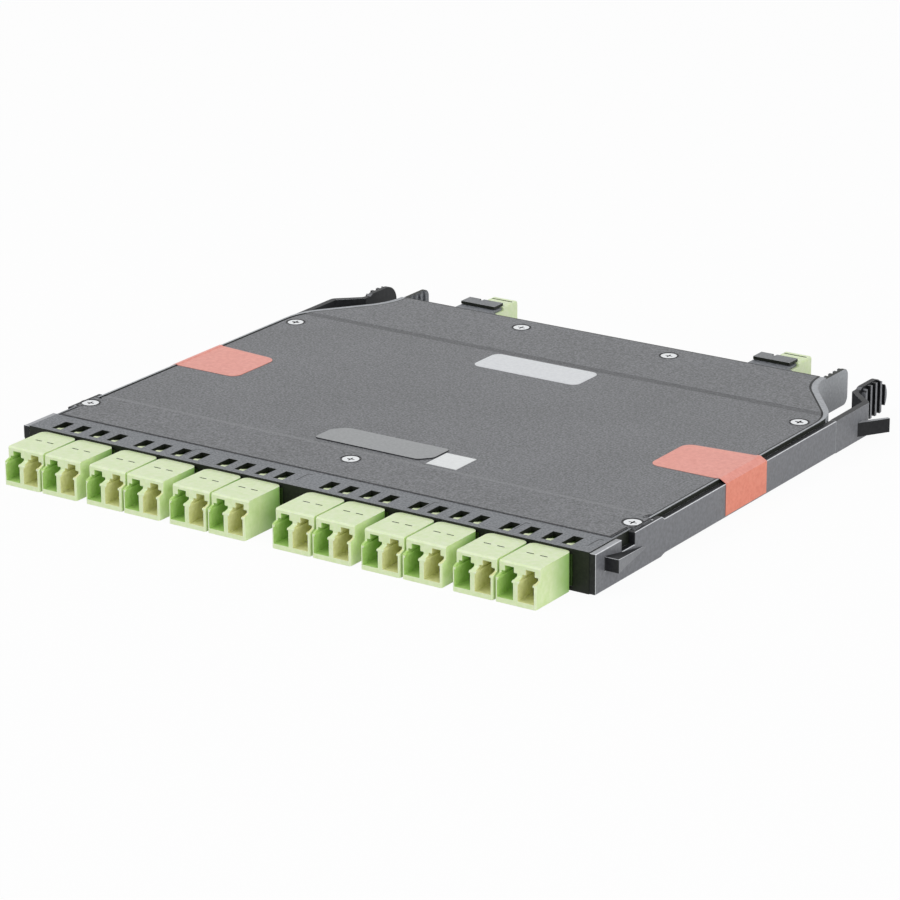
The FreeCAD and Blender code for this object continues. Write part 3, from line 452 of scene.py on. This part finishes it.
# A clear, glossy lime, with painted shade deepening along the sides; painted pale highlights on the
# edges; the ports painted green as shade and light, the right ones tan; painted near-black shade
# where the adapter enters the tray.
lime = grained("pbt_lime_moulded", "#e4f6be", "#f0fcd2", 1.6, 0.008, 0.34, cloud_mm=9.0)
lime_side_shaded = grained("pbt_lime_side_painted_shade", "#ddf3ae", "#eafbc4", 1.6, 0.008, 0.34, cloud_mm=9.0)
shaded_along(lime_side_shaded, SIDE_SHADE_START, TRAY_FRONT, "#93c860")
# Pale edges, painted as highlights.
lime_edge_highlight = grained("pbt_lime_painted_edge_highlight", "#eefbd4", "#f8fee8", 1.6, 0.004, 0.3, cloud_mm=9.0)
lime_port_shaded = grained("pbt_lime_port_painted_shade_and_light", "#bbe07c", "#cdec96", 1.2, 0.01, 0.4, cloud_mm=6.0)
right_port_tan = grained("pbt_lime_right_port_tan", "#e2e6a0", "#f4f8be", 1.2, 0.01, 0.4, cloud_mm=5.0)
lime_painted_shade = grained("pbt_lime_painted_shade", "#2c4216", "#3a5520", 1.2, 0.01, 0.4, cloud_mm=6.0)
for clear_lime in (lime, lime_side_shaded, lime_edge_highlight):
    surface = clear_lime.node_tree.nodes["Principled BSDF"]
    surface.inputs["Subsurface Weight"].default_value = 0.06
    surface.inputs["Subsurface Radius"].default_value = (0.8, 1.0, 0.3)
    surface.inputs["Subsurface Scale"].default_value = 0.0012


def in_port(at, facing, middle):
    """Whether a face of an adapter lies inside a port, and not on its front, its sides or its rib."""
    within = PORT_FRONT + 0.0003 < at.y < PORT_END + 0.0008 and PORT_FLOOR < at.z < PORT_ROOF
    on_front = facing.y < -0.9 and at.y < PORT_STEP + 0.0004
    return within and not on_front and 0.0002 < abs(at.x - middle) <= PORT_OUT


ADAPTERS = ["lc_adapter_%02d" % number for number in range(1, 13)]
for name in ADAPTERS:
    low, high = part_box(name)
    middle = (low.x + high.x) / 2
    adapter = softened(name, 0.3, [lime, lime_port_shaded, right_port_tan, lime_side_shaded, lime_painted_shade, lime_edge_highlight], "cassette")
    paint(adapter,
          # The sides: painted shade that deepens to the rear.
          (lime_side_shaded, lambda at, facing: abs(facing.x) > 0.9 and abs(at.x - middle) > PORT_OUT
           and at.y < ROOT_START),
          # The root: painted near-black, as shade.
          (lime_painted_shade, lambda at, facing: at.y > ROOT_START and at.z < ROOT_HIGH),
          # The ports: the right one painted tan, the left one green, as shade with light through the walls.
          (right_port_tan, lambda at, facing: in_port(at, facing, middle) and at.x > middle),
          (lime_port_shaded, lambda at, facing: in_port(at, facing, middle) and at.x < middle),
          # The two pressed dashes on top, painted dark as shade.
          (lime_painted_shade, lambda at, facing: DASH_FRONT < at.y < DASH_REAR and DASH_LOW < at.z < DASH_HIGH))

# Latch hooks. Each adapter is held by a pale hook under each window of the strip, moulded on its
# neck; only the hook's nose shows. Its top slopes down to the rear.
HOOK_LEVEL, HOOK_RISE = 0.0097, 0.00075
HOOK_BACK, HOOK_SHIFT = 0.0041, 0.0005
HALF_PITCH = 0.003125
HOOK_SIZES = (("Wide", 0.0019), ("Long", 0.0040), ("High", 0.0015), ("Slope", 0.0008))
SLOPE_START, SLOPE_END = -0.0004, 0.0016
hook_lime = grained("pbt_lime_hook", "#d4e2ae", "#e4eec4", 1.6, 0.008, 0.4)
hook_tree, hook_in, hook_out = node_group("latch_hooks", HOOK_SIZES)
hook_wide, hook_long, hook_high, hook_slope = [hook_in.outputs[label] for label, value in HOOK_SIZES]
hook_block = add(hook_tree, "GeometryNodeMeshCube", {"Size": three(hook_tree, X=hook_wide, Y=hook_long,
                                                                   Z=hook_high),
                                                     "Vertices X": 3, "Vertices Y": 4, "Vertices Z": 2})
hook_place = add(hook_tree, "GeometryNodeInputPosition")
hook_apart = add(hook_tree, "ShaderNodeSeparateXYZ", {"Vector": hook_place.outputs[0]})
hook_top = add(hook_tree, "FunctionNodeCompare", {"A": hook_apart.outputs["Z"], "B": 0.0},
               operation="GREATER_THAN")
hook_fall = add(hook_tree, "ShaderNodeMapRange", {"Value": hook_apart.outputs["Y"], "From Min": SLOPE_START,
                                                  "From Max": SLOPE_END, "To Min": 0.0, "To Max": -1.0})
hook_drop = maths(hook_tree, "MULTIPLY", hook_fall.outputs[0], hook_slope)
hook_nose = add(hook_tree, "GeometryNodeSetPosition", {"Geometry": hook_block.outputs["Mesh"],
                                                       "Selection": hook_top.outputs[0],
                                                       "Offset": three(hook_tree, Z=hook_drop)})
set_out(hook_tree, hook_in, hook_out, hook_nose.outputs[0], hook_lime)
hook_points = []
for name in ADAPTERS:
    low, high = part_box(name)
    for port_side in (-HALF_PITCH, HALF_PITCH):
        hook_points.append(((low.x + high.x) / 2 + port_side + HOOK_SHIFT, TRAY_FRONT + HOOK_BACK,
                            HOOK_LEVEL + HOOK_RISE))
grown("latch_hook_noses", hook_tree, hook_points)


# Inner plugs and sleeves. Lime duplex plugs sit in the adapters from inside the tray, their
# ferrules meeting in white ceramic sleeves.
def finished(node, material):
    """Gives a CAD piece one finish and leaves its shape alone."""
    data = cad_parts[node].data
    data.materials.clear()
    data.materials.append(material)


plug_plastic = grained("pbt_lime_plug", "#9fcf62", "#b5de7c", 1.6, 0.008, 0.4)
zirconia = grained("zirconia_ground", "#e6e4dc", "#f2f0ea", 0.5, 0.002, 0.2, ior=2.1)
for number in range(1, 13):
    finished("lc_plug_%02d" % number, plug_plastic)
finished("alignment_sleeves", zirconia)

# Rear adapters. Two MPO adapters in the same lime, on their side, each under a charcoal clip. Their
# plugs and the aqua fibre bundles, wound round the spools, lie inside the tray.
MPO_LINE_LOW, MPO_LINE_HIGH, MPO_LINE_START = 0.0106, 0.01128, 0.0925
bundle_jacket = grained("pvc_aqua_jacket", "#49b7ad", "#67c9bf", 0.9, 0.01, 0.5)
clip_charcoal = grained("abs_charcoal_clip", "#67696c", "#85888a", 0.6, 0.02, 0.46)
for side in ("left", "right"):
    clip = softened("mpo_retainer_" + side, 0.15, [clip_charcoal, tray_shade, tray_edge_highlight], "cassette")
    # The clip's faces toward the front and right are painted black as shade; its edges pale as highlights.
    paint(clip, (tray_shade, lambda at, facing: facing.y < -0.7 or facing.x > 0.7))
    rear = softened("mpo_adapter_" + side, 0.0, [lime, lime_painted_shade], "cassette")
    # A thin line along the top, near the rear, is painted dark as shade.
    paint(rear, (lime_painted_shade, lambda at, facing: MPO_LINE_LOW < at.z < MPO_LINE_HIGH and at.y > MPO_LINE_START))
    finished("mpo_plug_" + side, plug_plastic)
    finished("fibre_bundle_" + side, bundle_jacket)
    finished("fibre_spool_" + side, tray_grain)

# Rails and levers. Black acetal, smooth from a polished mould: satin sides, tops painted black as
# shade and edges painted bright as highlights. Each lever runs on from its rail, steps inwards and
# ends in a grooved thumb pad.
RAIL_OUT, RAIL_END = 0.0938, 0.0490
RAIL_GAP, RAIL_MEETS = 0.0003, 0.00015
PROUD = RAIL_OUT + 0.0003
FRONT_TOP = 0.0109
NOTCH_FRONT, NOTCH_REAR, NOTCH_FLOOR = TRAY_FRONT + 0.0129, TRAY_FRONT + 0.0192, 0.0077
WEDGE_START, WEDGE_END = TRAY_FRONT + 0.003, -0.07
LEVER_START, BARB_START = 0.0502, 0.05
PAD_FACE, PAD_START, RIBS_START = 0.0864, 0.0765, 0.0785
# Satin grey sides; a painted lit grey on some tops; painted near-black shade on tops and in hollows;
# painted bright highlights on the edges that draw the outline.
rail_side = grained("acetal_black_satin", "#67686c", "#797b7f", 1.0, 0.01, 0.4, cloud_mm=35.0)
rail_lit_grey = grained("acetal_black_painted_lit_top", "#9b9da0", "#acaeb1", 1.0, 0.006, 0.36, cloud_mm=35.0)
rail_shade = grained("acetal_black_painted_shade", "#1b1c1e", "#28292b", 1.2, 0.006, 0.42, cloud_mm=35.0, ior=1.3)
# The rounded edges are painted bright, as highlights.
rail_edge_highlight = grained("acetal_black_painted_edge_highlight", "#d4d6d9", "#ebedef", 1.0, 0.004, 0.25)
BAR_RULES = (
    # Tops are painted black as shade, but painted a lit grey in front of the notch.
    (rail_shade, lambda at, facing: facing.z > 0.97),
    (rail_lit_grey, lambda at, facing: facing.z > 0.97 and at.z > FRONT_TOP and at.y < NOTCH_FRONT),
    # The front end and the notch's walls, painted black as shade.
    (rail_shade, lambda at, facing: facing.y < -0.7 and at.y < TRAY_FRONT + 0.0003),
    (rail_shade, lambda at, facing: abs(facing.y) > 0.3 and at.z > NOTCH_FLOOR
     and NOTCH_FRONT - 0.0004 < at.y < NOTCH_REAR + 0.0004),
    # The stop wedge: painted black as shade in front, satin outside.
    (rail_shade, lambda at, facing: abs(at.x) > RAIL_OUT - 0.0004 and facing.y < -0.3
     and WEDGE_START < at.y < WEDGE_END),
    (rail_side, lambda at, facing: abs(at.x) > PROUD and outward(at, facing) > 0.8 and at.y < 0.0),
    # The latch barb: painted black as shade, with a painted lit grey top.
    (rail_shade, lambda at, facing: abs(at.x) > PROUD and at.y > BARB_START),
    (rail_lit_grey, lambda at, facing: abs(at.x) > PROUD and at.y > BARB_START and facing.z > 0.9),
    # The lever's inner side, and the thumb pad's face and grooves, painted black as shade.
    (rail_shade, lambda at, facing: at.y > LEVER_START and outward(at, facing) < -0.3),
    (rail_shade, lambda at, facing: at.y > PAD_START and abs(at.x) < PAD_FACE + 0.0003
     and (abs(facing.x) > 0.9 or facing.y < -0.7)),
    (rail_shade, lambda at, facing: at.y > RIBS_START and PAD_FACE - 0.0001 < abs(at.x) < PAD_FACE + 0.0011
     and abs(facing.y) > 0.7))
for side in ("left", "right"):
    for node, body, meets in (("side_rail_", "cassette", RAIL_END),
                              ("release_lever_", "lever_" + side, RAIL_END + RAIL_GAP)):
        bar = softened(node + side, 0.2, [rail_side, rail_shade, rail_lit_grey, rail_edge_highlight], body,
                       meets=meets, shortest_mm=0.25)
        paint(bar, *BAR_RULES)
        if body == "cassette":
            # Half of the gap to the lever is closed, so that it looks like a fine line.
            for vertex in bar.data.vertices:
                if vertex.co.y > RAIL_END - 0.00005:
                    vertex.co.y = RAIL_END + RAIL_MEETS

# Labels. A white coated label near the rear, a pale grey badge near the front with a dark line
# round its foot, and a white tag beside it, all bare.
label_paper = grained("label_coated_paper", "#e3e5e7", "#eff1f2", 0.9, 0.004, 0.4)
badge_face = grained("badge_printed_polycarbonate", "#8f9192", "#9fa1a2", 0.9, 0.004, 0.35)
badge_foot = grained("badge_dark_sides", "#232426", "#303133", 0.9, 0.004, 0.5, ior=1.3)
tag_paper = grained("tag_coated_paper", "#eff1f0", "#f8faf9", 0.9, 0.004, 0.4)
finished("rear_label", label_paper)
finished("port_tag", tag_paper)
badge = softened("front_badge", 0.06, [badge_face, badge_foot], "cassette")
# The badge's sides are dark, which shows as a dark line round its foot.
paint(badge, (badge_foot, lambda at, facing: facing.z < 0.6))

# Seals. Red-orange vinyl film, stuck over the cover's edge and down the rail, bare. The film's top
# is painted paler, as lit, and its side duller, as shaded. It lies skew: its rear edge runs back
# towards the rail, and its inner edge lies further in than the solid's.
FILM_SKEW, FILM_START, FILM_WIDTH = 0.0022, 0.0704, 0.0234
FILM_INNER, FILM_IN = 0.0735, 0.0007
seal_top = grained("vinyl_red_painted_lit_top", "#ee9484", "#fba898", 1.1, 0.004, 0.35)
seal_side = grained("vinyl_red_painted_shaded_side", "#ea8064", "#f69478", 1.1, 0.004, 0.35)
for side in ("left", "right"):
    film = softened("seal_" + side, 0.02, [seal_top, seal_side, seal_top], "cassette", 60.0)
    # The side is painted duller, as shaded.
    paint(film, (seal_side, lambda at, facing: abs(facing.x) > 0.7))
    for vertex in film.data.vertices:
        if vertex.co.y > 0.0:
            vertex.co.y += FILM_SKEW * max(0.0, abs(vertex.co.x) - FILM_START) / FILM_WIDTH
        if abs(vertex.co.x) < FILM_INNER:
            vertex.co.x += FILM_IN if vertex.co.x < 0 else -FILM_IN
